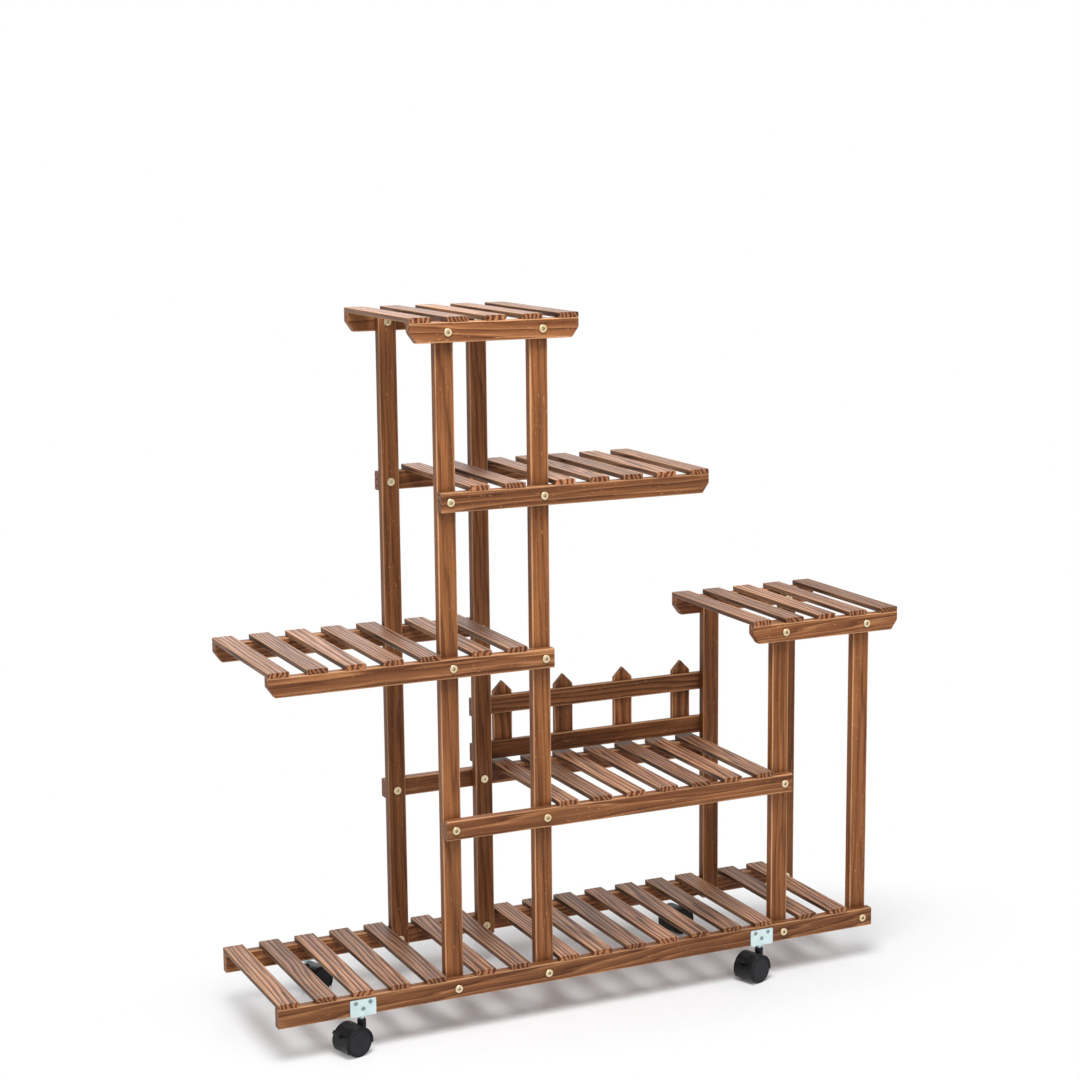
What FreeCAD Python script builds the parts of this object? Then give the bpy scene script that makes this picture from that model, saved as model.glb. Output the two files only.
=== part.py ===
import FreeCAD, Part
import math
import os
from collections import namedtuple

# A rolling plant stand: slatted shelves bolted to eight posts, on four swivel casters with brakes.
# Millimetres, +Z up, +X along the front. The origin is on the floor under the middle of the stand.

# Layout of the frame, along X
wing_reach = 241.5
upper_reach = 236.0
pair_gap = 108.5
span_gap = 348.5
cap_reach = 39.25
base_tail = 3.0
left_caster_inset = 117.0
right_caster_gap = 5.25

# Layout of the frame, along Y and Z
stand_depth = 248.0
shelf_pitch = 222.0

# Timber sections
post_width = 26.0
post_thickness = 14.0
rail_height = 26.5
rail_thickness = 14.0
slat_width = 29.0
slat_thickness = 7.0
timber_ease = 1.2
slat_ease = 1.0
end_cut_length = 10.0
end_cut_height = 14.0

# Slats of each run, and the room left beside the posts
wing_slats = 5
span_slats = 7
pair_slats = 2
cap_slats = 5
wing_slat_margin = 4.0
span_slat_margin = 5.25
pair_slat_margin = 13.75

# Fence behind the middle shelf
fence_rail_thickness = 8.0
fence_rail_rise = 67.5
fence_foot_gap = 3.5
picket_count = 4
picket_width = 29.0
picket_thickness = 7.0
picket_margin = 12.75
picket_foot = 3.0
picket_shoulder = 4.0
picket_point = 15.0

# Connector bolts and barrel nuts
bolt_radius = 3.0
bolt_head_radius = 5.5
bolt_head_height = 2.2
bolt_head_ease = 0.9
bolt_socket_radius = 2.4
bolt_socket_depth = 1.6
bolt_hole_clearance = 0.25
bolt_reach_share = 0.6
nut_sleeve_radius = 4.2
nut_flange_radius = 5.5
nut_flange_height = 2.0
nut_socket_depth = 1.1
nut_sleeve_share = 0.9
thread_clearance = 0.1

# Nails
nail_radius = 0.7
nail_head_radius = 1.4
nail_head_height = 0.7
nail_bite = 7.0
nail_clearance = 0.05
nail_spread_share = 0.5
fence_nail_bite = 5.0

# Caster brackets and their screws
bracket_width = 36.5
bracket_thickness = 1.0
bracket_inset = 4.0
bracket_corner = 2.0
screw_radius = 1.6
screw_head_radius = 3.2
screw_head_share = 0.85
screw_length = 11.0
screw_clearance = 0.05
screw_recess_width = 0.8
screw_recess_depth = 0.6
screw_across_shares = (-0.28, 0.28, 0.0)
screw_down_shares = (0.21, 0.21, 0.57)

# Casters
wheel_radius = 19.5
wheel_width = 12.0
wheel_ease = 1.6
wheel_gap = 0.5
wheel_cap_radius = 17.6
wheel_cap_groove = 0.9
wheel_hollow_inner = 7.0
wheel_hollow_outer = 16.5
wheel_hollow_share = 0.6
axle_radius = 2.5
axle_reach_share = 0.75
running_clearance = 0.05
web_thickness = 9.0
hood_gap = 0.8
hood_wall = 1.4
hood_setback = 0.5
hood_front_angle = -10.0
hood_back_angle = 215.0
hub_radius = 8.0
caster_trail = 15.0
neck_radius = 5.9
neck_rise = 4.4
neck_gap = 6.3
neck_ease = 0.8
stem_radius = 3.0
stem_collar_radius = 4.6
stem_collar_height = 2.2
stem_depth = 18.0
stem_end_gap = 1.0

# Brake levers
lever_angle = 150.0
lever_pivot_radius = 15.0
lever_eye_radius = 2.8
lever_trunnion_radius = 1.3
lever_width = 5.4
lever_thickness = 2.6
lever_paddle_width = 13.0
lever_paddle_gap = 1.6
lever_reach = 10.5
lever_hook_height = 2.4
lever_hook_length = 2.0
lever_press_angle = 14.0
lever_slot_gap = 0.4

# Which way each caster is turned, in degrees from trailing straight to the left
front_left_heading = 15.5
front_right_heading = 19.5
back_left_heading = 199.5
back_right_heading = 15.5

# How far a cutting tool runs past what it cuts
overrun = 2.0

# Worked-out places
V = FreeCAD.Vector
X_AXIS = V(1, 0, 0)
Y_AXIS = V(0, 1, 0)
Z_AXIS = V(0, 0, 1)
FRONT, BACK = -1, 1
half_depth = stand_depth / 2
hood_bore_radius = wheel_radius + hood_gap
hood_radius = hood_bore_radius + hood_wall
hood_half_width = web_thickness / 2 + wheel_gap + wheel_width - hood_setback
neck_top = wheel_radius + hood_radius + neck_rise
flange_base = neck_top + neck_gap
ride_height = flange_base + bracket_thickness
tower_width = 2 * post_width + pair_gap
overall_length = wing_reach + 2 * tower_width + span_gap + cap_reach
left_end = -overall_length / 2
post_step = post_width + pair_gap
first_post = left_end + wing_reach
third_post = first_post + tower_width + span_gap
post_lefts = [first_post, first_post + post_step, third_post, third_post + post_step]
post_rights = [left + post_width for left in post_lefts]
post_centres = [left + post_width / 2 for left in post_lefts]
base_end = post_rights[3] + base_tail
upper_end = post_rights[1] + upper_reach
slat_length = stand_depth
nail_length = slat_thickness + nail_bite
plate_height = rail_height - bracket_inset + bracket_thickness
left_caster = left_end + left_caster_inset
right_caster = post_lefts[2] - right_caster_gap - bracket_width / 2


def level(number):
    """Height of the underside of a shelf's rails."""
    return ride_height + number * shelf_pitch


def slat_run(start, end, count):
    """Left edges of evenly spaced slats, the first flush with start and the last with end."""
    step = (end - start - slat_width) / (count - 1)
    return [start + step * number for number in range(count)]


# Runs of slats, named for the posts that they lie between
left_wing = slat_run(left_end, post_lefts[0] - wing_slat_margin, wing_slats)
upper_wing = slat_run(post_rights[1] + wing_slat_margin, upper_end, wing_slats)
tall_pair = slat_run(post_rights[0] + pair_slat_margin, post_lefts[1] - pair_slat_margin, pair_slats)
short_pair = slat_run(post_rights[2] + pair_slat_margin, post_lefts[3] - pair_slat_margin, pair_slats)
span = slat_run(post_rights[1] + span_slat_margin, post_lefts[2] - span_slat_margin, span_slats)
tall_cap = slat_run(post_lefts[0] - cap_reach, post_rights[1] + cap_reach, cap_slats)
short_cap = slat_run(post_lefts[2] - cap_reach, post_rights[3] + cap_reach, cap_slats)

Shelf = namedtuple("Shelf", "name base left right cut_left cut_right posts slats")
shelves = [
    Shelf("base", level(0), left_end, base_end, False, False, (0, 1, 2, 3),
          left_wing + tall_pair + span + short_pair),
    Shelf("middle", level(1), post_lefts[0], post_rights[2], False, False, (0, 1, 2), span),
    Shelf("left", level(2), left_end, post_rights[1], True, False, (0, 1), left_wing + tall_pair),
    Shelf("right", level(2), post_lefts[2] - cap_reach, post_rights[3] + cap_reach, True, True, (2, 3),
          short_cap),
    Shelf("upper", level(3), post_lefts[0], upper_end, False, True, (0, 1), tall_pair + upper_wing),
    Shelf("top", level(4), post_lefts[0] - cap_reach, post_rights[1] + cap_reach, True, True, (0, 1),
          tall_cap),
]
middle_shelf = shelves[1]
post_tops = [level(4), level(4), level(2), level(2)]

Caster = namedtuple("Caster", "name x side heading")
casters = [
    Caster("front_left", left_caster, FRONT, front_left_heading),
    Caster("front_right", right_caster, FRONT, front_right_heading),
    Caster("back_left", left_caster, BACK, back_left_heading),
    Caster("back_right", right_caster, BACK, back_right_heading),
]


def runs_along(edge, axis):
    """Whether a straight edge of a square-cut piece lies along an axis."""
    return edge.Curve.Direction.cross(axis).Length < edge.Curve.Direction.Length / 2


def eased_bar(corner, size, along, ease):
    """A box whose four edges along one axis are rounded."""
    box = Part.makeBox(size.x, size.y, size.z, corner)
    return box.makeFillet(ease, [edge for edge in box.Edges if runs_along(edge, along)])


def drill(radius, depth, start=V()):
    """A round tool along +Y."""
    return Part.makeCylinder(radius, depth, start, Y_AXIS)


def prism(points, depth):
    """A flat outline drawn out along a vector."""
    return Part.Face(Part.makePolygon(points + points[:1])).extrude(depth)


def hexagon(radius, depth, place):
    """A six-sided socket along +Y."""
    turns = [2 * math.pi * number / 6 for number in range(6)]
    points = [V(radius * math.cos(turn), 0, radius * math.sin(turn)) for turn in turns]
    socket = prism(points, V(0, depth, 0))
    socket.translate(place)
    return socket


def placed(shape, place, turn=0):
    """A copy turned about the upright axis and then moved."""
    piece = shape.copy()
    piece.rotate(V(), Z_AXIS, turn)
    piece.translate(place)
    return piece


def side_turn(side):
    """Turn that takes a piece drawn for the front to its side."""
    return 0 if side == FRONT else 180


def save(name, *solids):
    """Write one node, a single solid or a group of separate ones."""
    shape = solids[0] if len(solids) == 1 else Part.makeCompound(list(solids))
    shape.exportStep(os.path.join("parts", name + ".step"))


# Places of the fasteners in a shelf


def bolt_places(shelf, side):
    """Centres of the bolt heads on a rail's outer face."""
    height = shelf.base + rail_height / 2
    return [V(post_centres[post], side * half_depth, height) for post in shelf.posts]


def nail_offsets():
    """Nail places in a slat, from the middle of its left edge."""
    spread = slat_width * nail_spread_share / 2
    reach = half_depth - rail_thickness / 2
    middle = slat_width / 2
    return [V(middle + way * spread, side * reach, 0) for side in (FRONT, BACK) for way in (-1, 1)]


def nail_places(shelf):
    """Tops of the nails of a shelf."""
    top = shelf.base + rail_height + slat_thickness
    return [V(left, 0, top) + offset for left in shelf.slats for offset in nail_offsets()]


def screw_places():
    """Screw places on a bracket drawn at the origin, on the rail's face."""
    top = plate_height - bracket_thickness
    shares = zip(screw_across_shares, screw_down_shares)
    return [V(across * bracket_width, 0, top - down * plate_height) for across, down in shares]


def bracket_place(caster):
    """Lower edge of the rail's outer face, at the middle of a caster's bracket."""
    return V(caster.x, caster.side * half_depth, ride_height)


# Timber


def nail_hole():
    """Room for a nail whose top is at the origin."""
    length = nail_length + nail_clearance
    shank = Part.makeCylinder(nail_radius + nail_clearance, length + overrun, V(0, 0, -length))
    head_depth = nail_head_height + nail_clearance
    head = Part.makeCylinder(nail_head_radius + nail_clearance, head_depth + overrun, V(0, 0, -head_depth))
    return shank.fuse(head)


def slat_nail():
    """A nail whose flat head is flush with the top of its slat, at the origin."""
    shank = Part.makeCylinder(nail_radius, nail_length, V(0, 0, -nail_length))
    head = Part.makeCylinder(nail_head_radius, nail_head_height, V(0, 0, -nail_head_height))
    return shank.fuse(head)


def slat():
    """A slat whose left edge lies on the Y axis, with its top at z = 0."""
    size = V(slat_width, slat_length, slat_thickness)
    bar = eased_bar(V(0, -slat_length / 2, -slat_thickness), size, Y_AXIS, slat_ease)
    return bar.cut([placed(nail_hole(), offset) for offset in nail_offsets()])


def end_cut(shelf, end, inward, y):
    """The wedge cut off the lower corner of a rail's free end."""
    slope = end_cut_height / end_cut_length
    outside = end - inward * overrun
    below = shelf.base - overrun
    across = end + inward * (end_cut_length + overrun / slope)
    above = shelf.base + end_cut_height + overrun * slope
    outline = [V(outside, y, below), V(across, y, below), V(outside, y, above)]
    return prism(outline, V(0, rail_thickness + 2 * overrun, 0))


def rail(shelf, side):
    """A shelf's front or back rail, bored for its bolts, nails and bracket screws."""
    outer = side * half_depth
    low_y = min(outer, outer - side * rail_thickness)
    size = V(shelf.right - shelf.left, rail_thickness, rail_height)
    bar = eased_bar(V(shelf.left, low_y, shelf.base), size, X_AXIS, timber_ease)
    tools = []
    if shelf.cut_left:
        tools.append(end_cut(shelf, shelf.left, 1, low_y - overrun))
    if shelf.cut_right:
        tools.append(end_cut(shelf, shelf.right, -1, low_y - overrun))
    hole = drill(bolt_radius + bolt_hole_clearance, rail_thickness + 2 * overrun, V(0, -overrun, 0))
    tools += [placed(hole, place, side_turn(side)) for place in bolt_places(shelf, side)]
    tools += [placed(nail_hole(), place) for place in nail_places(shelf) if place.y * side > 0]
    if shelf is shelves[0]:
        pilot = drill(screw_radius + screw_clearance, screw_length + screw_clearance)
        turn = side_turn(side)
        holes = Part.makeCompound([placed(pilot, place) for place in screw_places()])
        tools += [placed(holes, bracket_place(caster), turn) for caster in casters if caster.side == side]
    return bar.cut(tools)


def post(number, side):
    """A post against the inner faces of the rails, bored for the barrel nuts."""
    outer = side * (half_depth - rail_thickness)
    low_y = min(outer, outer - side * post_thickness)
    height = post_tops[number] + rail_height - ride_height
    corner = V(post_lefts[number], low_y, ride_height)
    bar = eased_bar(corner, V(post_width, post_thickness, height), Z_AXIS, timber_ease)
    hole = drill(nut_sleeve_radius + bolt_hole_clearance, rail_thickness + post_thickness + overrun)
    tools = []
    for shelf in shelves:
        if number in shelf.posts:
            place = bolt_places(shelf, side)[shelf.posts.index(number)]
            tools.append(placed(hole, place, side_turn(side)))
    if side == BACK and number in fence_posts:
        tools += fence_nail_set(fence_post_nails(number), fence_rail_thickness, nail_clearance)
    return bar.cut(tools)


# Fence

fence_posts = range(1, 3)
fence_face = half_depth - rail_thickness
fence_back = fence_face + fence_rail_thickness
fence_base = middle_shelf.base + rail_height + slat_thickness + fence_foot_gap
fence_levels = (fence_base, fence_base + fence_rail_rise)
picket_step = (span_gap - 2 * picket_margin - picket_width) / (picket_count - 1)
picket_lefts = [post_rights[1] + picket_margin + picket_step * number for number in range(picket_count)]


def fence_nail(clearance, place, thickness):
    """A nail along -Y whose head is flush at its place, or the room for one."""
    length = thickness + fence_nail_bite + clearance
    shank = drill(nail_radius + clearance, length, place - V(0, length, 0))
    depth = nail_head_height + clearance
    head = drill(nail_head_radius + clearance, depth, place - V(0, depth, 0))
    return shank.fuse(head)


def fence_nail_set(places, thickness, clearance=0):
    """Nails through a board, or the room for them."""
    return [fence_nail(clearance, place, thickness) for place in places]


def fence_post_nails(number):
    """Nails that hold the fence rails to a post."""
    return [V(post_centres[number], fence_back, low + rail_height / 2) for low in fence_levels]


def picket_nails(left):
    """Nails that hold a picket to the two fence rails."""
    x = left + picket_width / 2
    return [V(x, fence_back + picket_thickness, low + rail_height / 2) for low in fence_levels]


def fence_rail(low):
    """A fence rail on the back faces of the second and third back posts."""
    corner = V(post_lefts[1], fence_face, low)
    size = V(post_rights[2] - post_lefts[1], fence_rail_thickness, rail_height)
    bar = eased_bar(corner, size, X_AXIS, timber_ease)
    tools = []
    for number in fence_posts:
        tools += fence_nail_set(fence_post_nails(number), fence_rail_thickness, nail_clearance)
    for left in picket_lefts:
        tools += fence_nail_set(picket_nails(left), picket_thickness, nail_clearance)
    return bar.cut(tools)


def picket(left):
    """A pointed picket behind the fence rails."""
    foot = fence_base + picket_foot
    shoulder = fence_levels[1] + rail_height + picket_shoulder
    right = left + picket_width
    middle = left + picket_width / 2
    outline = [V(left, fence_back, foot), V(right, fence_back, foot), V(right, fence_back, shoulder),
               V(middle, fence_back, shoulder + picket_point), V(left, fence_back, shoulder)]
    board = prism(outline, V(0, picket_thickness, 0))
    return board.cut(fence_nail_set(picket_nails(left), picket_thickness, nail_clearance))


# Connectors


def connector_bolt():
    """A bolt along +Y, its round head on a rail face at y = 0."""
    head = drill(bolt_head_radius, bolt_head_height, V(0, -bolt_head_height, 0))
    rim = [edge for edge in head.Edges if edge.Closed and edge.CenterOfMass.y < -bolt_head_height / 2]
    head = head.makeFillet(bolt_head_ease, rim)
    shank = drill(bolt_radius, rail_thickness + post_thickness * bolt_reach_share)
    socket = hexagon(bolt_socket_radius, bolt_socket_depth + overrun, V(0, -bolt_head_height - overrun, 0))
    return head.fuse(shank).cut(socket)


def barrel_nut():
    """A sleeve nut in a post, its flange on the inner face, for a rail face at y = 0."""
    inner = rail_thickness + post_thickness
    length = post_thickness * nut_sleeve_share
    sleeve = drill(nut_sleeve_radius, length, V(0, inner - length, 0))
    flange = drill(nut_flange_radius, nut_flange_height, V(0, inner, 0))
    bore = drill(bolt_radius + thread_clearance, length + overrun, V(0, inner - length - overrun, 0))
    outside = inner + nut_flange_height
    socket = hexagon(bolt_socket_radius, nut_socket_depth + overrun, V(0, outside - nut_socket_depth, 0))
    return sleeve.fuse(flange).cut([bore, socket])


# Caster bracket, drawn at the origin for a rail whose outer face is at y = 0 and underside at z = 0


def countersink(clearance):
    """The cone under a countersunk head whose flat is at y = 0, along +Y."""
    depth = bracket_thickness * screw_head_share
    return Part.makeCone(screw_head_radius + clearance, screw_radius + clearance, depth, V(), Y_AXIS)


def bracket_screw():
    """A countersunk cross-head screw along +Y, its flat at y = 0."""
    shank = drill(screw_radius, bracket_thickness + screw_length)
    reach = screw_head_radius / 2
    half = screw_recess_width / 2
    depth = screw_recess_depth + overrun
    level_slot = Part.makeBox(2 * reach, depth, screw_recess_width, V(-reach, -overrun, -half))
    upright_slot = Part.makeBox(screw_recess_width, depth, 2 * reach, V(-half, -overrun, -reach))
    return shank.fuse(countersink(0)).cut([level_slot, upright_slot])


def caster_bracket():
    """An angle plate: three screws through its upright leg, the stem through its flange."""
    half = bracket_width / 2
    low = V(-half, -bracket_thickness, -bracket_thickness)
    plate = Part.makeBox(bracket_width, bracket_thickness, plate_height, low)
    flange = Part.makeBox(bracket_width, bracket_thickness + rail_thickness, bracket_thickness, low)
    angle = plate.fuse(flange).removeSplitter()
    top = plate_height - bracket_thickness
    corners = []
    for edge in angle.Edges:
        middle = edge.CenterOfMass
        outermost = abs(middle.x) > half - bracket_corner
        at_top = middle.z > top - bracket_corner and runs_along(edge, Y_AXIS)
        at_back = middle.y > rail_thickness - bracket_corner and runs_along(edge, Z_AXIS)
        if outermost and (at_top or at_back):
            corners.append(edge)
    angle = angle.makeFillet(bracket_corner, corners)
    below = V(0, rail_thickness / 2, -bracket_thickness - overrun)
    tools = [Part.makeCylinder(stem_radius, bracket_thickness + 2 * overrun, below)]
    for place in screw_places():
        face = place - V(0, bracket_thickness, 0)
        hole = drill(screw_radius + screw_clearance, bracket_thickness + overrun, face)
        tools += [hole, placed(countersink(screw_clearance), face)]
    return angle.cut(tools)


# Caster, drawn with its stem axis on the Z axis, its wheels trailing towards -X and its axle along Y

axle_place = V(-caster_trail, 0, wheel_radius)
wheel_inner = web_thickness / 2 + wheel_gap
axle_half = wheel_inner + wheel_width * axle_reach_share


def round_about_axle(radius, low_y, high_y):
    """A cylinder along Y on the axle's line."""
    return drill(radius, high_y - low_y, axle_place + V(0, low_y, 0))


def about_axle(radius, angle):
    """A point in the caster's middle plane, from the axle; 0 degrees is ahead and 90 is up."""
    turn = math.radians(angle)
    return axle_place + V(radius * math.cos(turn), 0, radius * math.sin(turn))


def lever_frame(shape):
    """Take a shape drawn along +X at the origin to the lever's pivot and angle."""
    shape.rotate(V(), Y_AXIS, -lever_angle)
    shape.translate(about_axle(lever_pivot_radius, lever_angle))
    return shape


def lever_slot():
    """Room in the hood for the brake lever at rest, pressed and between."""
    half_width = lever_width / 2 + lever_slot_gap
    half_height = lever_thickness / 2 + lever_slot_gap
    reach = hood_radius - lever_pivot_radius + lever_reach
    drop = half_height + reach * math.tan(math.radians(lever_press_angle))
    outline = [V(0, -half_width, -half_height), V(0, -half_width, half_height),
               V(reach, -half_width, drop), V(reach, -half_width, -half_height)]
    sweep = prism(outline, V(0, 2 * half_width, 0))
    eye = drill(lever_eye_radius + lever_slot_gap, 2 * half_width, V(0, -half_width, 0))
    radius = lever_trunnion_radius + running_clearance
    holes = drill(radius, web_thickness + 2 * overrun, V(0, -web_thickness / 2 - overrun, 0))
    return lever_frame(sweep.fuse([eye, holes]))


def brake_lever():
    """A lever on two trunnions in the web, with a broad hooked paddle outside the hood."""
    half = lever_width / 2
    half_height = lever_thickness / 2
    tip = hood_radius - lever_pivot_radius + lever_reach
    start = hood_radius - lever_pivot_radius + lever_paddle_gap
    arm = Part.makeBox(tip, lever_width, lever_thickness, V(0, -half, -half_height))
    eye = drill(lever_eye_radius, lever_width, V(0, -half, 0))
    trunnions = drill(lever_trunnion_radius, web_thickness, V(0, -web_thickness / 2, 0))
    broad = lever_paddle_width / 2
    paddle = Part.makeBox(tip - start, lever_paddle_width, lever_thickness, V(start, -broad, -half_height))
    hook = Part.makeBox(lever_hook_length, lever_paddle_width, lever_hook_height + lever_thickness,
                        V(tip - lever_hook_length, -broad, -half_height - lever_hook_height))
    return lever_frame(arm.fuse([eye, trunnions, paddle, hook]).removeSplitter())


def caster_hood():
    """A shell over both wheels, with the web between them and the neck for the stem."""
    front = about_axle(hood_radius, hood_front_angle)
    crown = about_axle(hood_radius, (hood_front_angle + hood_back_angle) / 2)
    back = about_axle(hood_radius, hood_back_angle)
    arc = Part.Arc(front, crown, back).toShape()
    outline = Part.Wire([Part.makeLine(axle_place, front), arc, Part.makeLine(back, axle_place)])
    sector = Part.Face(outline).extrude(V(0, 2 * hood_half_width, 0))
    sector.translate(V(0, -hood_half_width, 0))
    neck = Part.makeCylinder(neck_radius, neck_top - wheel_radius, V(0, 0, wheel_radius))
    rim = [edge for edge in neck.Edges if edge.Closed and edge.CenterOfMass.z > neck_top - neck_ease]
    neck = neck.makeFillet(neck_ease, rim)
    beyond = hood_half_width + overrun
    rooms = [round_about_axle(hood_bore_radius, web_thickness / 2, beyond),
             round_about_axle(hood_bore_radius, -beyond, -web_thickness / 2)]
    hub = round_about_axle(hub_radius, -web_thickness / 2, web_thickness / 2)
    body = sector.fuse(neck).cut(rooms).fuse(hub)
    bore_radius = stem_radius + running_clearance
    stem_bore = Part.makeCylinder(bore_radius, stem_depth + overrun, V(0, 0, neck_top - stem_depth))
    axle_bore = round_about_axle(axle_radius, -web_thickness / 2 - overrun, web_thickness / 2 + overrun)
    return body.cut([stem_bore, axle_bore, lever_slot()]).removeSplitter()


def caster_stem():
    """A stem riveted into the bracket's flange, with a collar above the neck."""
    low = neck_top - stem_depth + stem_end_gap
    shaft = Part.makeCylinder(stem_radius, ride_height - low, V(0, 0, low))
    collar_base = V(0, 0, flange_base - stem_collar_height)
    collar = Part.makeCylinder(stem_collar_radius, stem_collar_height, collar_base)
    return shaft.fuse(collar).removeSplitter()


def caster_axle():
    """A pin held in the web, on whose ends the wheels turn."""
    return round_about_axle(axle_radius, -axle_half, axle_half)


def caster_wheel(side):
    """A wheel with a grooved cap outside and a hollow towards the web."""
    near = wheel_inner
    far = wheel_inner + wheel_width
    tyre = round_about_axle(wheel_radius, near, far)
    rims = [edge for edge in tyre.Edges if edge.Closed]
    tyre = tyre.makeFillet(wheel_ease, rims)
    bore = round_about_axle(axle_radius + running_clearance, near - overrun, axle_half + running_clearance)
    bottom = far - wheel_cap_groove
    cap = round_about_axle(wheel_cap_radius - wheel_cap_groove, bottom, far + overrun)
    groove = round_about_axle(wheel_cap_radius, bottom, far + overrun).cut(cap)
    deep = near + wheel_width * wheel_hollow_share
    hollow = round_about_axle(wheel_hollow_outer, near - overrun, deep)
    hollow = hollow.cut(round_about_axle(wheel_hollow_inner, near - overrun, deep))
    wheel = tyre.cut([bore, groove, hollow])
    return wheel if side == BACK else wheel.mirror(V(), Y_AXIS)


os.makedirs("parts", exist_ok=True)

for side, side_name in ((FRONT, "front"), (BACK, "back")):
    for number in range(len(post_lefts)):
        save(f"{side_name}_post_{number + 1}", post(number, side))
    for shelf in shelves:
        save(f"{shelf.name}_{side_name}_rail", rail(shelf, side))

plain_slat = slat()
plain_nail = slat_nail()
plain_bolt = connector_bolt()
plain_nut = barrel_nut()
bolts, nuts, nails = [], [], []
for shelf in shelves:
    top = shelf.base + rail_height + slat_thickness
    save(f"{shelf.name}_slats", *[placed(plain_slat, V(left, 0, top)) for left in shelf.slats])
    nails += [placed(plain_nail, place) for place in nail_places(shelf)]
    for side in (FRONT, BACK):
        bolts += [placed(plain_bolt, place, side_turn(side)) for place in bolt_places(shelf, side)]
        nuts += [placed(plain_nut, place, side_turn(side)) for place in bolt_places(shelf, side)]
save("connector_bolts", *bolts)
save("barrel_nuts", *nuts)
save("slat_nails", *nails)

save("fence_lower_rail", fence_rail(fence_levels[0]))
save("fence_upper_rail", fence_rail(fence_levels[1]))
save("fence_pickets", *[picket(left) for left in picket_lefts])
fence_nails = []
for left in picket_lefts:
    fence_nails += fence_nail_set(picket_nails(left), picket_thickness)
for number in fence_posts:
    fence_nails += fence_nail_set(fence_post_nails(number), fence_rail_thickness)
save("fence_nails", *fence_nails)

bracket, screw, stem = caster_bracket(), bracket_screw(), caster_stem()
hood, axle, lever = caster_hood(), caster_axle(), brake_lever()
outer_wheel, inner_wheel = caster_wheel(FRONT), caster_wheel(BACK)
screws, stems = [], []
for caster in casters:
    turn = side_turn(caster.side)
    foot = V(caster.x, caster.side * (half_depth - rail_thickness / 2), 0)
    save(f"{caster.name}_bracket", placed(bracket, bracket_place(caster), turn))
    for place in screw_places():
        drawn = placed(screw, place - V(0, bracket_thickness, 0))
        screws.append(placed(drawn, bracket_place(caster), turn))
    stems.append(placed(stem, foot))
    save(f"{caster.name}_hood", placed(hood, foot, caster.heading))
    save(f"{caster.name}_axle", placed(axle, foot, caster.heading))
    save(f"{caster.name}_brake_lever", placed(lever, foot, caster.heading))
    save(f"{caster.name}_wheel_a", placed(outer_wheel, foot, caster.heading))
    save(f"{caster.name}_wheel_b", placed(inner_wheel, foot, caster.heading))
save("bracket_screws", *screws)
save("caster_stems", *stems)
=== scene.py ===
import math
from collections import namedtuple

import bpy
from mathutils import Matrix, Vector


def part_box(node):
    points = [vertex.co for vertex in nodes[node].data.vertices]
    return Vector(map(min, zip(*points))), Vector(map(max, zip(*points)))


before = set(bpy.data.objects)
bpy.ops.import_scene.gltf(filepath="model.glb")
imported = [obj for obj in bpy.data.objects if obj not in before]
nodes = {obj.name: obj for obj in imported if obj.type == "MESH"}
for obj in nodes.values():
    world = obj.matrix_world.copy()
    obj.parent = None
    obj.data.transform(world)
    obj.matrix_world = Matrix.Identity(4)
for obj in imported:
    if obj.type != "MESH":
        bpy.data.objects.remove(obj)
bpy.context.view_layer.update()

X, Y, Z = 0, 1, 2

# Camera: its place in metres, the directions of its right and down, and its lens and sensor in millimetres
camera_place = Vector((-1.3200, -2.8332, 1.1766))
camera_right = Vector((0.89927, -0.43735, -0.00548))
camera_down = Vector((-0.08056, -0.15331, -0.98489))
camera_lens = 75.38
camera_sensor = 36.0
camera_shift = (-0.0547, 0.0126)

# Floor, in metres: paper near the stand that runs out to plain white, sooner in depth than sideways
floor_half = 9.0
floor_colour = (0.94, 0.95, 0.965, 1.0)
floor_roughness = 0.9
floor_shine = 0.1
floor_near = 0.34
floor_far = 0.80
floor_depth_share = 0.45
floor_white_share = 0.06

# Light: places and widths in metres, powers in watts
white = (1.0, 1.0, 1.0, 1.0)
world_fill = 0.28
Lamp = namedtuple("Lamp", "name place target width power")
lamps = [
    Lamp("key_softbox", (-0.75, -1.35, 2.9), (0.0, 0.0, 0.2), 1.6, 84.0),
    Lamp("front_softbox", (0.0, -3.1, 2.2), (0.0, 0.0, 0.5), 2.2, 16.0),
    Lamp("back_softbox", (0.6, 3.0, 2.2), (0.0, 0.0, 0.5), 2.2, 18.0),
]

# What the materials are described with. A pattern is noise, in waves per metre along an axis and across it.
# A band says where a value starts to show, where it shows in full, and how much it then covers or adds.
# A relief is a bump's strength and its height in metres.
Pattern = namedtuple("Pattern", "along across detail roughness")
Band = namedtuple("Band", "start full reach")
Relief = namedtuple("Relief", "strength height")
hollow_samples = 8

# Places of the colour sockets among the inputs and outputs of a mix node
mix_first = 6
mix_second = 7
mix_result = 2

# Timbers: the width of a year ring in metres, colours through one ring in linear light, the share by which
# sawn ends show the rings as bands, and the painted shade on the sides that face along X
Timber = namedtuple("Timber", "ring_step rings end_share side_tone")
post_timber = Timber(
    ring_step=0.0085,
    rings=[(0.02, (0.232, 0.086, 0.029)), (0.20, (0.282, 0.107, 0.036)), (0.70, (0.220, 0.080, 0.026)),
           (0.90, (0.135, 0.045, 0.014)), (1.00, (0.210, 0.077, 0.025))],
    end_share=0.4,
    side_tone=1.0)
rail_timber = Timber(
    ring_step=0.0080,
    rings=[(0.02, (0.240, 0.093, 0.035)), (0.12, (0.400, 0.178, 0.074)), (0.26, (0.250, 0.097, 0.036)),
           (0.78, (0.190, 0.068, 0.024)), (0.92, (0.100, 0.032, 0.010)), (1.00, (0.215, 0.082, 0.030))],
    end_share=0.4,
    side_tone=1.0)
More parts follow.
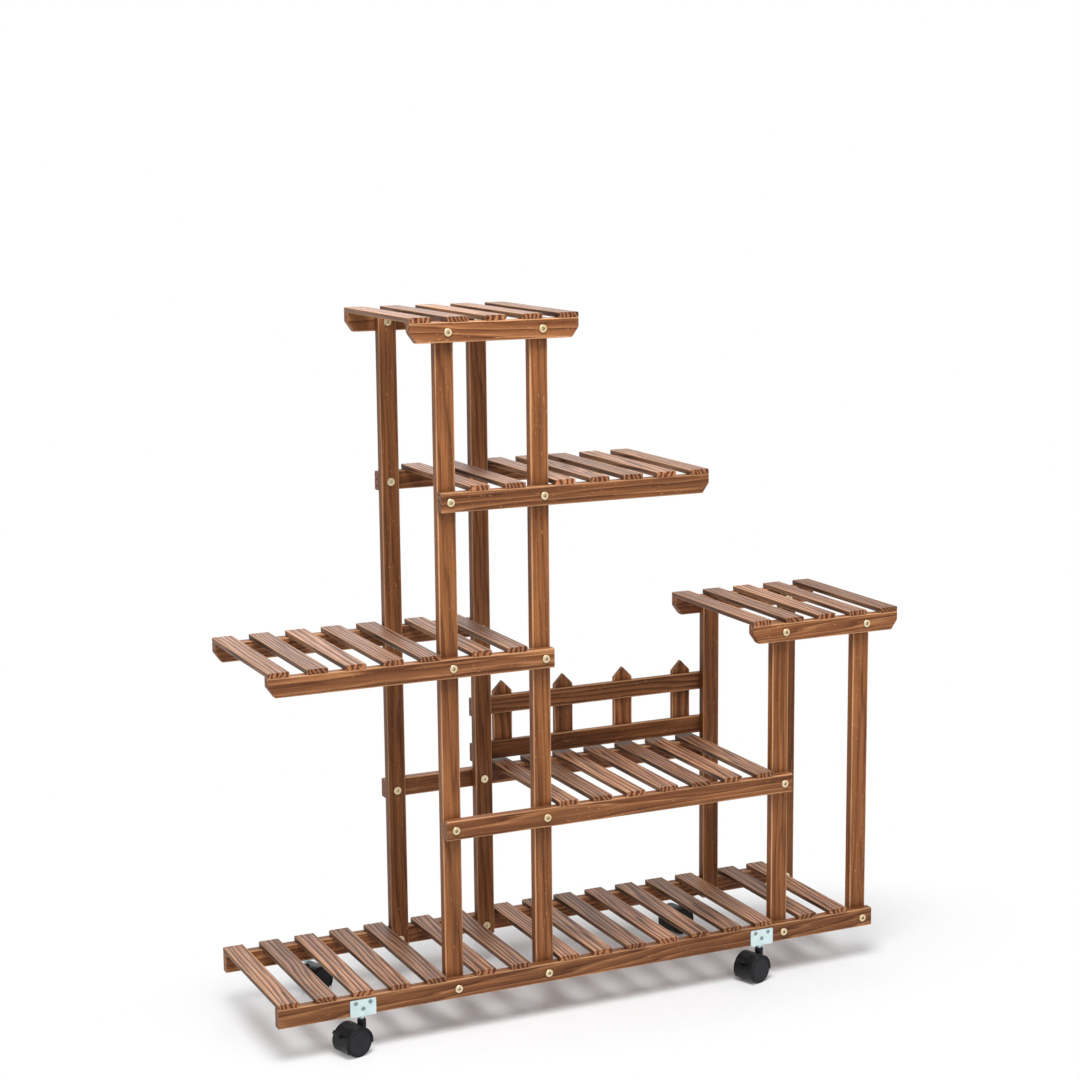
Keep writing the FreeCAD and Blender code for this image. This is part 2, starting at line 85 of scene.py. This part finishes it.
# The slats' ring colours are their stain, made lighter and greyer by a painted sheen
slat_timber = Timber(
    ring_step=0.0065,
    rings=[(0.02, (0.320, 0.148, 0.082)), (0.18, (0.530, 0.290, 0.178)), (0.50, (0.350, 0.166, 0.092)),
           (0.84, (0.055, 0.019, 0.008)), (1.00, (0.260, 0.115, 0.062))],
    end_share=0.95,
    side_tone=0.50)
fence_timber = Timber(
    ring_step=0.0070,
    rings=[(0.02, (0.205, 0.077, 0.027)), (0.18, (0.290, 0.117, 0.044)), (0.55, (0.205, 0.077, 0.027)),
           (0.88, (0.085, 0.027, 0.009)), (1.00, (0.190, 0.071, 0.025))],
    end_share=0.4,
    side_tone=1.0)

# Colours that all timbers share, in linear light, and tones that multiply the colour of the wood
# Dark of the pores, which is also the painted shade where boards meet
pore_and_shade_dark = (0.085, 0.027, 0.009)
# A pale wood colour for the flecks, also used on the long edges as wear and painted highlight
pale_wood_and_highlight = (0.660, 0.340, 0.165)
end_light = (0.450, 0.190, 0.080)
end_mid = (0.180, 0.056, 0.020)
end_dark = (0.034, 0.011, 0.004)
end_bands = [(0.0, end_mid), (0.28, end_light), (0.58, end_mid), (0.84, end_dark), (1.0, end_mid)]
stain_tones = [(0.25, (0.66, 0.60, 0.54)), (0.52, (1.0, 1.0, 1.0)), (0.78, (1.20, 1.20, 1.14))]
streak_tones = [(0.30, (0.60, 0.54, 0.50)), (0.50, (1.0, 1.0, 1.0)), (0.70, (1.38, 1.36, 1.30))]
fibre_tones = [(0.28, (0.66, 0.62, 0.58)), (0.50, (1.0, 1.0, 1.0)), (0.72, (1.28, 1.26, 1.20))]
stain_share = 0.75
streak_share = 0.70
fibre_share = 0.80
board_tones = (0.75, 1.25)
log_tone_low = 0.86
log_tone_span = 0.28
# Painted shade: the colour of the posts and rails at the back is multiplied by this
back_painted_shade = 0.90

# Logs, in metres: how far the pith lies from a board, how it moves from board to board in a set, how far
# the rings wander, and how far apart in the patterns two logs lie
pith_low = 0.022
pith_span = 0.050
slat_pith = 0.075
pith_spread = (0.05, 0.0, 0.09)
sway_reach = 0.018
shift_reach = 3.0

# Rings: how far a log leans and where its rings are pinched, in radians, how their spacing differs from board
# to board, and how ragged the fibres make them
tilt_reach = 0.05
pinch_turn = 9.0
growth_low = 0.7
growth_span = 0.6
ragged_share = 0.45

# Boards of a set: the least gap between them in metres, and the digits that their places are rounded to
board_gap = 0.016
place_digits = 5

# Rings per metre that the wave texture draws at a scale of 1
wave_rings = 20 / (2 * math.pi)

# Patterns of the timber, and where they show
sway_pattern = Pattern(4.0, 22.0, 2.0, 0.5)
pinch_pattern = Pattern(2.5, 120.0, 1.0, 0.5)
cloud_pattern = Pattern(5.0, 30.0, 3.0, 0.55)
streak_pattern = Pattern(7.0, 240.0, 2.0, 0.55)
fibre_pattern = Pattern(14.0, 850.0, 4.0, 0.65)
pore_pattern = Pattern(70.0, 2400.0, 2.0, 0.6)
fleck_pattern = Pattern(130.0, 620.0, 1.0, 0.5)
pore_band = Band(0.62, 0.74, 0.45)
fleck_band = Band(0.68, 0.78, 0.50)

# Long edges rubbed pale, with a painted highlight on top of the wear, by depths in metres, which reach
# further where stain and fibres are light
rub_and_highlight_band = Band(0.0002, -0.0022, 0.90)
rub_and_highlight_by_cloud = 0.0028
rub_and_highlight_by_fibre = 0.0016

# Painted shade where boards meet and in corners: how near a neighbour counts, in metres, and how hemmed in
# the wood then is
painted_shade_reach = 0.022
painted_shade_band = Band(0.80, 0.25, 0.75)

# How much of a face's normal lies along an axis before the face counts as looking along it
facing_low = 0.75
facing_high = 0.95

# Sheen and relief of the timber
timber_roughness = 0.60
timber_polish = Band(0.25, 0.75, -0.18)
timber_shine = 0.20
timber_coat = 0.04
timber_coat_roughness = 0.32
timber_relief = Relief(0.35, 0.0004)
fibre_height_share = 0.7
ring_height_share = 0.3

# Rows of scattered numbers: how far a row moves on from one board or log to the next, and where it starts
golden_ratio = 0.6180339887
half_way = 0.5
even_chance = (half_way, half_way, half_way)
board_rows = [(1, 1), (3, 2), (7, 4)]
shift_rows = [(1, 0), (1, 11), (1, 23)]
tilt_rows = [(1, 5), (1, 7), (1, 13)]
turn_row = (1, 3)
reach_row = (2, 1)
tone_row = (5, 2)

# Plated steel for each material slot: its colour, the tint it drifts to, the grime and painted shade in its
# recesses, its roughness and its crystals per metre
Plate = namedtuple("Plate", "name colour tint grime roughness crystals")
plates = {
    "yellow_zinc": Plate("yellow_zinc_plate", (0.76, 0.60, 0.35), (0.84, 0.70, 0.48),
                         (0.05, 0.03, 0.02), 0.24, 700.0),
    "bright_zinc": Plate("blue_white_zinc", (0.66, 0.83, 0.84), (0.74, 0.87, 0.88),
                         (0.04, 0.05, 0.06), 0.30, 500.0),
    "nail_steel": Plate("stained_steel", (0.16, 0.11, 0.08), (0.22, 0.16, 0.12),
                        (0.05, 0.03, 0.02), 0.50, 900.0),
    "axle_steel": Plate("drawn_steel", (0.52, 0.52, 0.54), (0.60, 0.60, 0.62),
                        (0.05, 0.05, 0.05), 0.28, 900.0),
}
screw_plate = Plate("zinc_screw", (0.33, 0.40, 0.43), (0.42, 0.48, 0.50), (0.01, 0.01, 0.02), 0.26, 900.0)
tint_pattern = Pattern(90.0, 90.0, 3.0, 0.5)
tint_band = Band(0.35, 0.68, 1.0)
crystal_tones = [(0.0, (0.75, 0.75, 0.75)), (1.0, (1.1, 1.1, 1.1))]
crystal_share = 0.14
crystal_height_share = 0.3
scuff_pattern = Pattern(900.0, 900.0, 3.0, 0.7)
scuff_band = Band(0.35, 0.70, 0.18)
grime_and_shade_reach = 0.003
grime_and_shade_band = Band(0.85, 0.30, 1.0)
plate_relief = Relief(0.10, 0.0002)

# Moulded plastic for each material slot: its colour, the size of its grain in metres, its roughness and shine
Plastic = namedtuple("Plastic", "name colour grain_size roughness shine")
plastics = {
    "black_plastic": Plastic("hood_plastic", (0.0060, 0.0062, 0.0068), 0.0006, 0.36, 0.24),
    "wheel_plastic": Plastic("tread_plastic", (0.0135, 0.0140, 0.0165), 0.0009, 0.50, 0.24),
}
grain_detail = 2.0
grain_roughness = 0.6
patch_pattern = Pattern(60.0, 60.0, 4.0, 0.6)
dust_band = Band(0.40, 0.75, 0.6)
dust_gain = 1.8
dust_lift = 0.004
dull_band = Band(0.30, 0.72, 0.2)
scratch_pattern = Pattern(2600.0, 240.0, 2.0, 0.6)
scratch_band = Band(0.66, 0.78, 0.3)
scratch_gain = 3.0
scratch_height_share = 0.3
# Painted shade in the grooves and recesses of the plastic
recess_reach = 0.004
recess_band = Band(0.80, 0.25, 0.9)
recess_painted_shade = (0.002, 0.002, 0.002)
plastic_relief = Relief(0.18, 0.00025)


class Tree:
    """Shader nodes, made and linked one after another."""

    def __init__(self, tree):
        self.tree = tree

    def put(self, socket, value):
        if isinstance(value, bpy.types.NodeSocket):
            self.tree.links.new(value, socket)
        else:
            socket.default_value = value

    def add(self, kind, inputs=(), **settings):
        """A node; each input is a value to set or an output to link."""
        made = self.tree.nodes.new(kind)
        for key, value in settings.items():
            setattr(made, key, value)
        for key, value in dict(inputs).items():
            self.put(made.inputs[key], value)
        return made

    def math(self, operation, first, second=0.0, third=0.0):
        inputs = {0: first, 1: second, 2: third}
        return self.add("ShaderNodeMath", inputs, operation=operation).outputs[0]

    def vector(self, operation, first, second):
        return self.add("ShaderNodeVectorMath", {0: first, 1: second}, operation=operation).outputs[0]

    def split(self, vector):
        return self.add("ShaderNodeSeparateXYZ", {0: vector}).outputs

    def join(self, x, y, z):
        return self.add("ShaderNodeCombineXYZ", {0: x, 1: y, 2: z}).outputs[0]

    def place(self):
        return self.add("ShaderNodeTexCoord").outputs["Object"]

    def noise(self, place, pattern, along=Z, output="Fac"):
        waves = tuple(pattern.along if axis == along else pattern.across for axis in (X, Y, Z))
        inputs = {"Vector": self.vector("MULTIPLY", place, waves), "Scale": 1.0,
                  "Detail": pattern.detail, "Roughness": pattern.roughness}
        return self.add("ShaderNodeTexNoise", inputs).outputs[output]

    def remap(self, value, low, high, to_low=0.0, to_high=1.0):
        inputs = {"Value": value, "From Min": low, "From Max": high, "To Min": to_low, "To Max": to_high}
        return self.add("ShaderNodeMapRange", inputs, interpolation_type="SMOOTHSTEP").outputs[0]

    def cover(self, value, band, base=0.0):
        """The base where a band has not started, and its reach more where it shows in full."""
        return self.remap(value, band.start, band.full, base, base + band.reach)

    def ramp(self, value, stops, interpolation="LINEAR"):
        """Colours at places from 0 to 1."""
        made = self.add("ShaderNodeValToRGB", {"Fac": value})
        made.color_ramp.interpolation = interpolation
        points = made.color_ramp.elements
        points.remove(points[1])
        points[0].position = stops[0][0]
        points[0].color = (*stops[0][1], 1.0)
        for place, colour in stops[1:]:
            points.new(place).color = (*colour, 1.0)
        return made.outputs["Color"]

    def mix(self, share, first, second, blend="MIX"):
        made = self.add("ShaderNodeMix", data_type="RGBA", blend_type=blend)
        self.put(made.inputs["Factor"], share)
        for socket, value in ((mix_first, first), (mix_second, second)):
            linked = isinstance(value, bpy.types.NodeSocket)
            self.put(made.inputs[socket], value if linked else (*value, 1.0))
        return made.outputs[mix_result]

    def blend(self, share, first, second):
        return self.add("ShaderNodeMixShader", {0: share, 1: first, 2: second}).outputs[0]

    def facing(self, axis, away, along):
        """One value on faces that look away from an axis, and another on faces that look along it."""
        normal = self.split(self.add("ShaderNodeNewGeometry").outputs["True Normal"])
        return self.remap(self.math("ABSOLUTE", normal[axis]), facing_low, facing_high, away, along)

    def hollow(self, distance):
        """1 in the open and less in corners and recesses."""
        made = self.add("ShaderNodeAmbientOcclusion", {"Distance": distance}, samples=hollow_samples)
        return made.outputs["AO"]

    def bump(self, height, relief):
        inputs = {"Height": height, "Strength": relief.strength, "Distance": relief.height}
        return self.add("ShaderNodeBump", inputs).outputs["Normal"]

    def seen(self):
        """1 for what is looked at, straight or in a reflection, and 0 for what only lights a surface."""
        path = self.add("ShaderNodeLightPath").outputs
        through = self.math("MAXIMUM", path["Is Glossy Ray"], path["Is Transmission Ray"])
        return self.math("MAXIMUM", path["Is Camera Ray"], through)


class Surface(Tree):
    """A material and its Principled shader."""

    def __init__(self, name):
        self.material = bpy.data.materials.new(name)
        self.material.use_nodes = True
        super().__init__(self.material.node_tree)
        self.shader = self.tree.nodes["Principled BSDF"]

    def set(self, **sockets):
        for key, value in sockets.items():
            self.put(self.shader.inputs[key.replace("_", " ")], value)


def golden(number, row):
    """Evenly scattered numbers from 0 to 1, the same on each run."""
    step, start = row
    return ((step * number + start) * golden_ratio) % 1.0


def board_spans(name):
    """The stretches along X that a node's boards fill."""
    places = sorted({round(vertex.co.x, place_digits) for vertex in nodes[name].data.vertices})
    spans = [[places[0], places[0]]]
    for place in places:
        if place - spans[-1][1] > board_gap:
            spans.append([place, place])
        spans[-1][1] = place
    return spans


def board_at(t, place, name, spans):
    """The middle of the board that a point is on, and three chance numbers of that board."""
    low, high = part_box(name)
    middle = (low + high) / 2
    if len(spans) == 1:
        return middle, even_chance
    reach = high.x - low.x
    start, middles, chances = 0.0, [], []
    for number, (left, right) in enumerate(spans):
        middles.append((start, (((left + right) / 2 - low.x) / reach, 0.0, 0.0)))
        chances.append((start, tuple(golden(number, row) for row in board_rows)))
        if number + 1 < len(spans):
            start = ((right + spans[number + 1][0]) / 2 - low.x) / reach
    share = t.math("DIVIDE", t.math("SUBTRACT", t.split(place)[X], low.x), reach)
    across = t.split(t.ramp(share, middles, "CONSTANT"))[X]
    board = t.join(t.math("MULTIPLY_ADD", across, reach, low.x), middle.y, middle.z)
    return board, t.ramp(share, chances, "CONSTANT")


# A log: where its pith lies from a board's middle, how far its patterns are moved so that no two logs match,
# how it leans against the board, and how light its wood is, darkened by painted shade on the back posts and
# rails
Log = namedtuple("Log", "pith shift tilt tone")

# A board: the axis of its grain, a point's place from its middle and in its patterns, its chance numbers and
# half its size
Board = namedtuple("Board", "grain local moved chance half")


def grow_log(number, name, grain, kind):
    """The log that a post, a rail or a set of boards is sawn from."""
    pith = Vector((0.0, 0.0, 0.0))
    if kind is slat_timber:
        pith[X] = slat_pith
    else:
        turn = 2 * math.pi * golden(number, turn_row)
        reach = pith_low + pith_span * golden(number, reach_row)
        first, second = [axis for axis in (X, Y, Z) if axis != grain]
        pith[first] = reach * math.cos(turn)
        pith[second] = reach * math.sin(turn)
    shift = Vector([golden(number, row) for row in shift_rows]) * shift_reach
    tilt = Vector([golden(number, row) for row in tilt_rows]) * tilt_reach
    tone = log_tone_low + log_tone_span * golden(number, tone_row)
    # Posts and rails at the back get painted shade
    return Log(pith, shift, tilt, tone * (back_painted_shade if name.startswith("back") else 1.0))


def saw_board(t, name, grain, log):
    """The board of a node that a point is on."""
    place = t.place()
    low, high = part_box(name)
    spans = board_spans(name) if grain != X else [[low.x, high.x]]
    middle, chance = board_at(t, place, name, spans)
    local = t.vector("SUBTRACT", place, middle)
    moved = t.vector("ADD", t.vector("ADD", place, log.shift), chance)
    half = Vector((spans[0][1] - spans[0][0], high.y - low.y, high.z - low.z)) / 2
    return Board(grain, local, moved, chance, half)


def year_rings(t, board, kind, log):
    """How far through a year ring a point lies; the rings wander along the board, pinched in places."""
    bend = t.noise(board.moved, sway_pattern, board.grain, "Color")
    sway = t.vector("MULTIPLY", t.vector("SUBTRACT", bend, even_chance), (sway_reach,) * 3)
    spread = t.vector("MULTIPLY", t.vector("SUBTRACT", board.chance, even_chance), pith_spread)
    place = t.vector("ADD", t.vector("SUBTRACT", board.local, t.vector("ADD", spread, log.pith)), sway)
    growth = t.math("MULTIPLY_ADD", t.split(board.chance)[Z], growth_span, growth_low)
    place = t.vector("MULTIPLY", place, t.join(growth, growth, growth))
    leaned = t.add("ShaderNodeMapping", {"Vector": place, "Rotation": log.tilt}).outputs[0]
    pinch = t.math("MULTIPLY", t.noise(board.moved, pinch_pattern, board.grain), pinch_turn)
    inputs = {"Vector": leaned, "Scale": 1 / (kind.ring_step * wave_rings), "Distortion": 0.0,
              "Phase Offset": pinch}
    made = t.add("ShaderNodeTexWave", inputs, wave_type="RINGS", rings_direction="XYZ"[board.grain],
                 wave_profile="SAW")
    return made.outputs["Fac"]


def edge_depth(t, board, cloud, fibre):
    """How far a point lies inside the nearest long edge, taken as less where stain and fibres are light."""
    sides = [t.math("SUBTRACT", board.half[axis], t.math("ABSOLUTE", t.split(board.local)[axis]))
             for axis in (X, Y, Z) if axis != board.grain]
    inward = t.math("MAXIMUM", *sides)
    return t.math("MULTIPLY_ADD", cloud, -rub_and_highlight_by_cloud, t.math("MULTIPLY_ADD", fibre, -rub_and_highlight_by_fibre, inward))


def timber(name, grain, kind, log):
    """Stained softwood sawn from a round log."""
    t = Surface("timber_" + name)
    board = saw_board(t, name, grain, log)
    rings = year_rings(t, board, kind, log)
    cloud = t.noise(board.moved, cloud_pattern, grain)
    streak = t.noise(board.moved, streak_pattern, grain)
    fibre = t.noise(board.moved, fibre_pattern, grain)
    ragged = t.math("ADD", rings, t.math("MULTIPLY", t.math("SUBTRACT", fibre, half_way), ragged_share))

    # Rings, stain that took unevenly, streaks, fine fibres, short dark pores and pale flecks
    wood = t.ramp(ragged, kind.rings)
    wood = t.mix(stain_share, wood, t.ramp(cloud, stain_tones), "MULTIPLY")
    wood = t.mix(streak_share, wood, t.ramp(streak, streak_tones), "MULTIPLY")
    wood = t.mix(fibre_share, wood, t.ramp(fibre, fibre_tones), "MULTIPLY")
    wood = t.mix(t.cover(t.noise(board.moved, pore_pattern, grain), pore_band), wood, pore_and_shade_dark)
    wood = t.mix(t.cover(t.noise(board.moved, fleck_pattern, grain), fleck_band), wood, pale_wood_and_highlight)

    # Sawn ends with the rings as hard bands, long edges rubbed pale with a painted highlight, and painted
    # shade where boards meet
    wood = t.mix(t.facing(grain, 0.0, kind.end_share), wood, t.ramp(ragged, end_bands))
    wood = t.mix(t.cover(edge_depth(t, board, cloud, fibre), rub_and_highlight_band), wood, pale_wood_and_highlight)
    # Painted shade darkens the wood in corners and where boards meet
    wood = t.mix(t.cover(t.hollow(painted_shade_reach), painted_shade_band), wood, pore_and_shade_dark)

    # The tone of each board, and painted shade on its sides that face along X
    low_tone, high_tone = [tone * log.tone for tone in board_tones]
    shade = t.remap(t.split(board.chance)[X], 0.0, 1.0, low_tone, high_tone)
    # Sides that face along X are darkened by painted shade
    shade = t.math("MULTIPLY", shade, t.facing(X, 1.0, kind.side_tone))
    wood = t.mix(1.0, wood, t.join(shade, shade, shade), "MULTIPLY")

    height = t.math("MULTIPLY_ADD", fibre, fibre_height_share, t.math("MULTIPLY", rings, ring_height_share))
    t.set(Base_Color=wood, Roughness=t.cover(fibre, timber_polish, timber_roughness))
    t.set(Specular_IOR_Level=timber_shine, Coat_Weight=timber_coat, Coat_Roughness=timber_coat_roughness)
    t.set(Normal=t.bump(height, timber_relief))
    return t.material


def plated(plate):
    """Plated steel: faint crystals, a tint that drifts, and grime with painted shade in the recesses."""
    t = Surface(plate.name)
    place = t.place()
    cells = t.add("ShaderNodeTexVoronoi", {"Vector": place, "Scale": plate.crystals}).outputs["Color"]
    crystal = t.add("ShaderNodeRGBToBW", {0: cells}).outputs[0]
    scuff = t.noise(place, scuff_pattern)
    base = t.mix(t.cover(t.noise(place, tint_pattern), tint_band), plate.colour, plate.tint)
    base = t.mix(crystal_share, base, t.ramp(crystal, crystal_tones), "MULTIPLY")
    # Grime and painted shade darken the recesses and the edges where parts meet
    base = t.mix(t.cover(t.hollow(grime_and_shade_reach), grime_and_shade_band), base, plate.grime)
    height = t.math("MULTIPLY_ADD", crystal, crystal_height_share, scuff)
    t.set(Base_Color=base, Metallic=1.0, Roughness=t.cover(scuff, scuff_band, plate.roughness))
    t.set(Normal=t.bump(height, plate_relief))
    return t.material


def moulded(plastic):
    """Black moulded plastic: a fine grain, dull rubbed patches, hairline scratches and painted shade in the
    recesses.
    """
    t = Surface(plastic.name)
    place = t.place()
    grain_waves = 1.0 / plastic.grain_size
    grain = t.noise(place, Pattern(grain_waves, grain_waves, grain_detail, grain_roughness))
    patch = t.noise(place, patch_pattern)
    scratch = t.noise(place, scratch_pattern)
    dusty = tuple(channel * dust_gain + dust_lift for channel in plastic.colour)
    scratched = tuple(channel * scratch_gain for channel in plastic.colour)
    base = t.mix(t.cover(patch, dust_band), plastic.colour, dusty)
    base = t.mix(t.cover(scratch, scratch_band), base, scratched)
    # Painted shade darkens the grooves and recesses
    base = t.mix(t.cover(t.hollow(recess_reach), recess_band), base, recess_painted_shade)
    height = t.math("MULTIPLY_ADD", scratch, scratch_height_share, grain)
    t.set(Base_Color=base, Specular_IOR_Level=plastic.shine)
    t.set(Roughness=t.cover(patch, dull_band, plastic.roughness), Normal=t.bump(height, plastic_relief))
    return t.material


def dress(name, material):
    for slot in nodes[name].material_slots:
        slot.material = material


def dress_timber():
    """A log of its own for each post and rail, and one for each set of slats and pickets."""
    boards = [(name, Z, post_timber) for name in sorted(nodes) if "_post_" in name]
    rails = [name for name in sorted(nodes) if name.endswith("_rail")]
    boards += [(name, X, fence_timber if name.startswith("fence") else rail_timber) for name in rails]
    boards += [(name, Y, slat_timber) for name in sorted(nodes) if name.endswith("_slats")]
    boards += [("fence_pickets", Z, fence_timber)]
    for number, (name, grain, kind) in enumerate(boards):
        dress(name, timber(name, grain, kind, grow_log(number, name, grain, kind)))


def dress_hardware():
    """A finish for each material slot of the fasteners and casters, and one for the bracket screws alone."""
    finishes = {slot: plated(plate) for slot, plate in plates.items()}
    finishes.update({slot: moulded(plastic) for slot, plastic in plastics.items()})
    for shown in nodes.values():
        for slot in shown.material_slots:
            slot.material = finishes.get(slot.material.name, slot.material)
    dress("bracket_screws", plated(screw_plate))


def aim(place, target):
    return (Vector(target) - Vector(place)).to_track_quat("-Z", "Y").to_euler()


def build_camera():
    data = bpy.data.cameras.new("camera")
    data.sensor_width = camera_sensor
    data.lens = camera_lens
    data.shift_x, data.shift_y = camera_shift
    camera = bpy.data.objects.new("camera", data)
    right = camera_right.normalized()
    back = right.cross(-camera_down).normalized()
    turn = Matrix((right, back.cross(right), back)).transposed().to_4x4()
    camera.matrix_world = Matrix.Translation(camera_place) @ turn
    bpy.context.scene.collection.objects.link(camera)
    bpy.context.scene.camera = camera


def build_floor():
    """A pale floor that takes the shadow near the stand and is seen to run out to plain white."""
    corners = [(x * floor_half, y * floor_half, 0.0) for x, y in ((-1, -1), (1, -1), (1, 1), (-1, 1))]
    mesh = bpy.data.meshes.new("floor")
    mesh.from_pydata(corners, [], [(0, 1, 2, 3)])
    floor = bpy.data.objects.new("floor", mesh)
    bpy.context.scene.collection.objects.link(floor)
    t = Surface("floor_paper")
    flattened = t.vector("DIVIDE", t.place(), (1.0, floor_depth_share, 1.0))
    spread = t.add("ShaderNodeVectorMath", {0: flattened}, operation="LENGTH").outputs["Value"]
    fade = t.math("MULTIPLY", t.remap(spread, floor_near, floor_far, floor_white_share), t.seen())
    plain = t.add("ShaderNodeEmission", {"Color": white, "Strength": 1.0}).outputs[0]
    t.set(Base_Color=floor_colour, Roughness=floor_roughness, Specular_IOR_Level=floor_shine)
    paper = t.blend(fade, t.shader.outputs[0], plain)
    t.put(t.tree.nodes["Material Output"].inputs["Surface"], paper)
    mesh.materials.append(t.material)


def build_world():
    """An even fill for the surfaces, and plain white where it is looked at."""
    world = bpy.data.worlds.new("studio")
    bpy.context.scene.world = world
    world.use_nodes = True
    world.node_tree.nodes.clear()
    t = Tree(world.node_tree)
    fill, plain = [t.add("ShaderNodeBackground", {"Color": white, "Strength": strength}).outputs[0]
                   for strength in (world_fill, 1.0)]
    t.add("ShaderNodeOutputWorld", {"Surface": t.blend(t.seen(), fill, plain)})


def build_lamps():
    for lamp in lamps:
        data = bpy.data.lights.new(lamp.name, "AREA")
        data.shape = "DISK"
        data.size = lamp.width
        data.energy = lamp.power
        made = bpy.data.objects.new(lamp.name, data)
        made.location = lamp.place
        made.rotation_euler = aim(lamp.place, lamp.target)
        bpy.context.scene.collection.objects.link(made)


build_camera()
build_floor()
build_world()
build_lamps()
dress_timber()
dress_hardware()
bpy.context.scene.view_settings.view_transform = "Standard"
